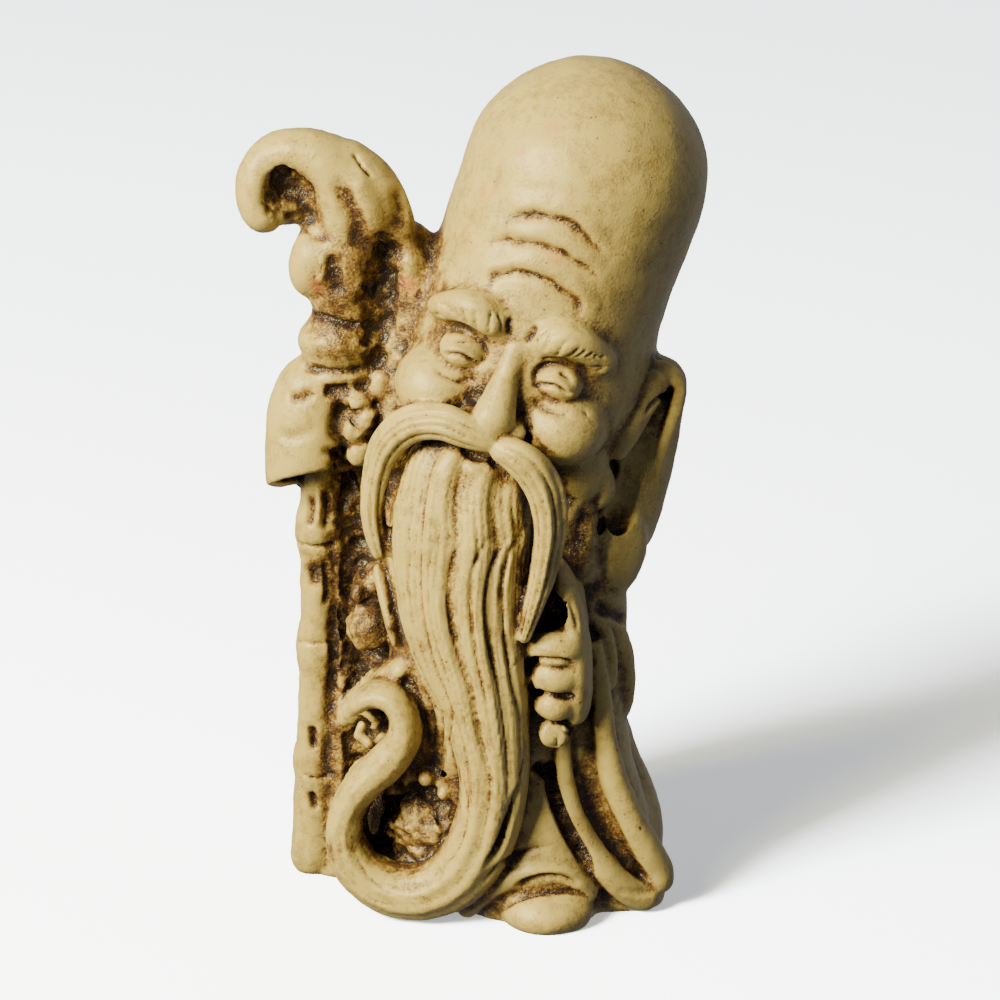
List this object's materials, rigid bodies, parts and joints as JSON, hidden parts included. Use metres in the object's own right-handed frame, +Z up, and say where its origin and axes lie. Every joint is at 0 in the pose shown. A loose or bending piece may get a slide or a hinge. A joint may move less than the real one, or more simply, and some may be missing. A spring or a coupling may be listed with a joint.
{
  "type": "shou lao figure",
  "caption": "Pocket figure of a bearded old man with a tall bald crown, long ears, a gnarled staff and a beard that sweeps down into a curl, cast in one piece to stand on a shelf.",
  "frame": {"origin": "middle of the flat underside's bounding box, on the ground", "axes": "+Z up, the figure faces -Y, +X is the figure's left"},
  "size_m": [0.026, 0.0182, 0.05],
  "materials": {
    "resin": "satin cream cast resin with dark brown varnish in the recesses"
  },
  "bodies": {
    "root": {"shou_lao_figure": "resin"}
  },
  "joints": []
}
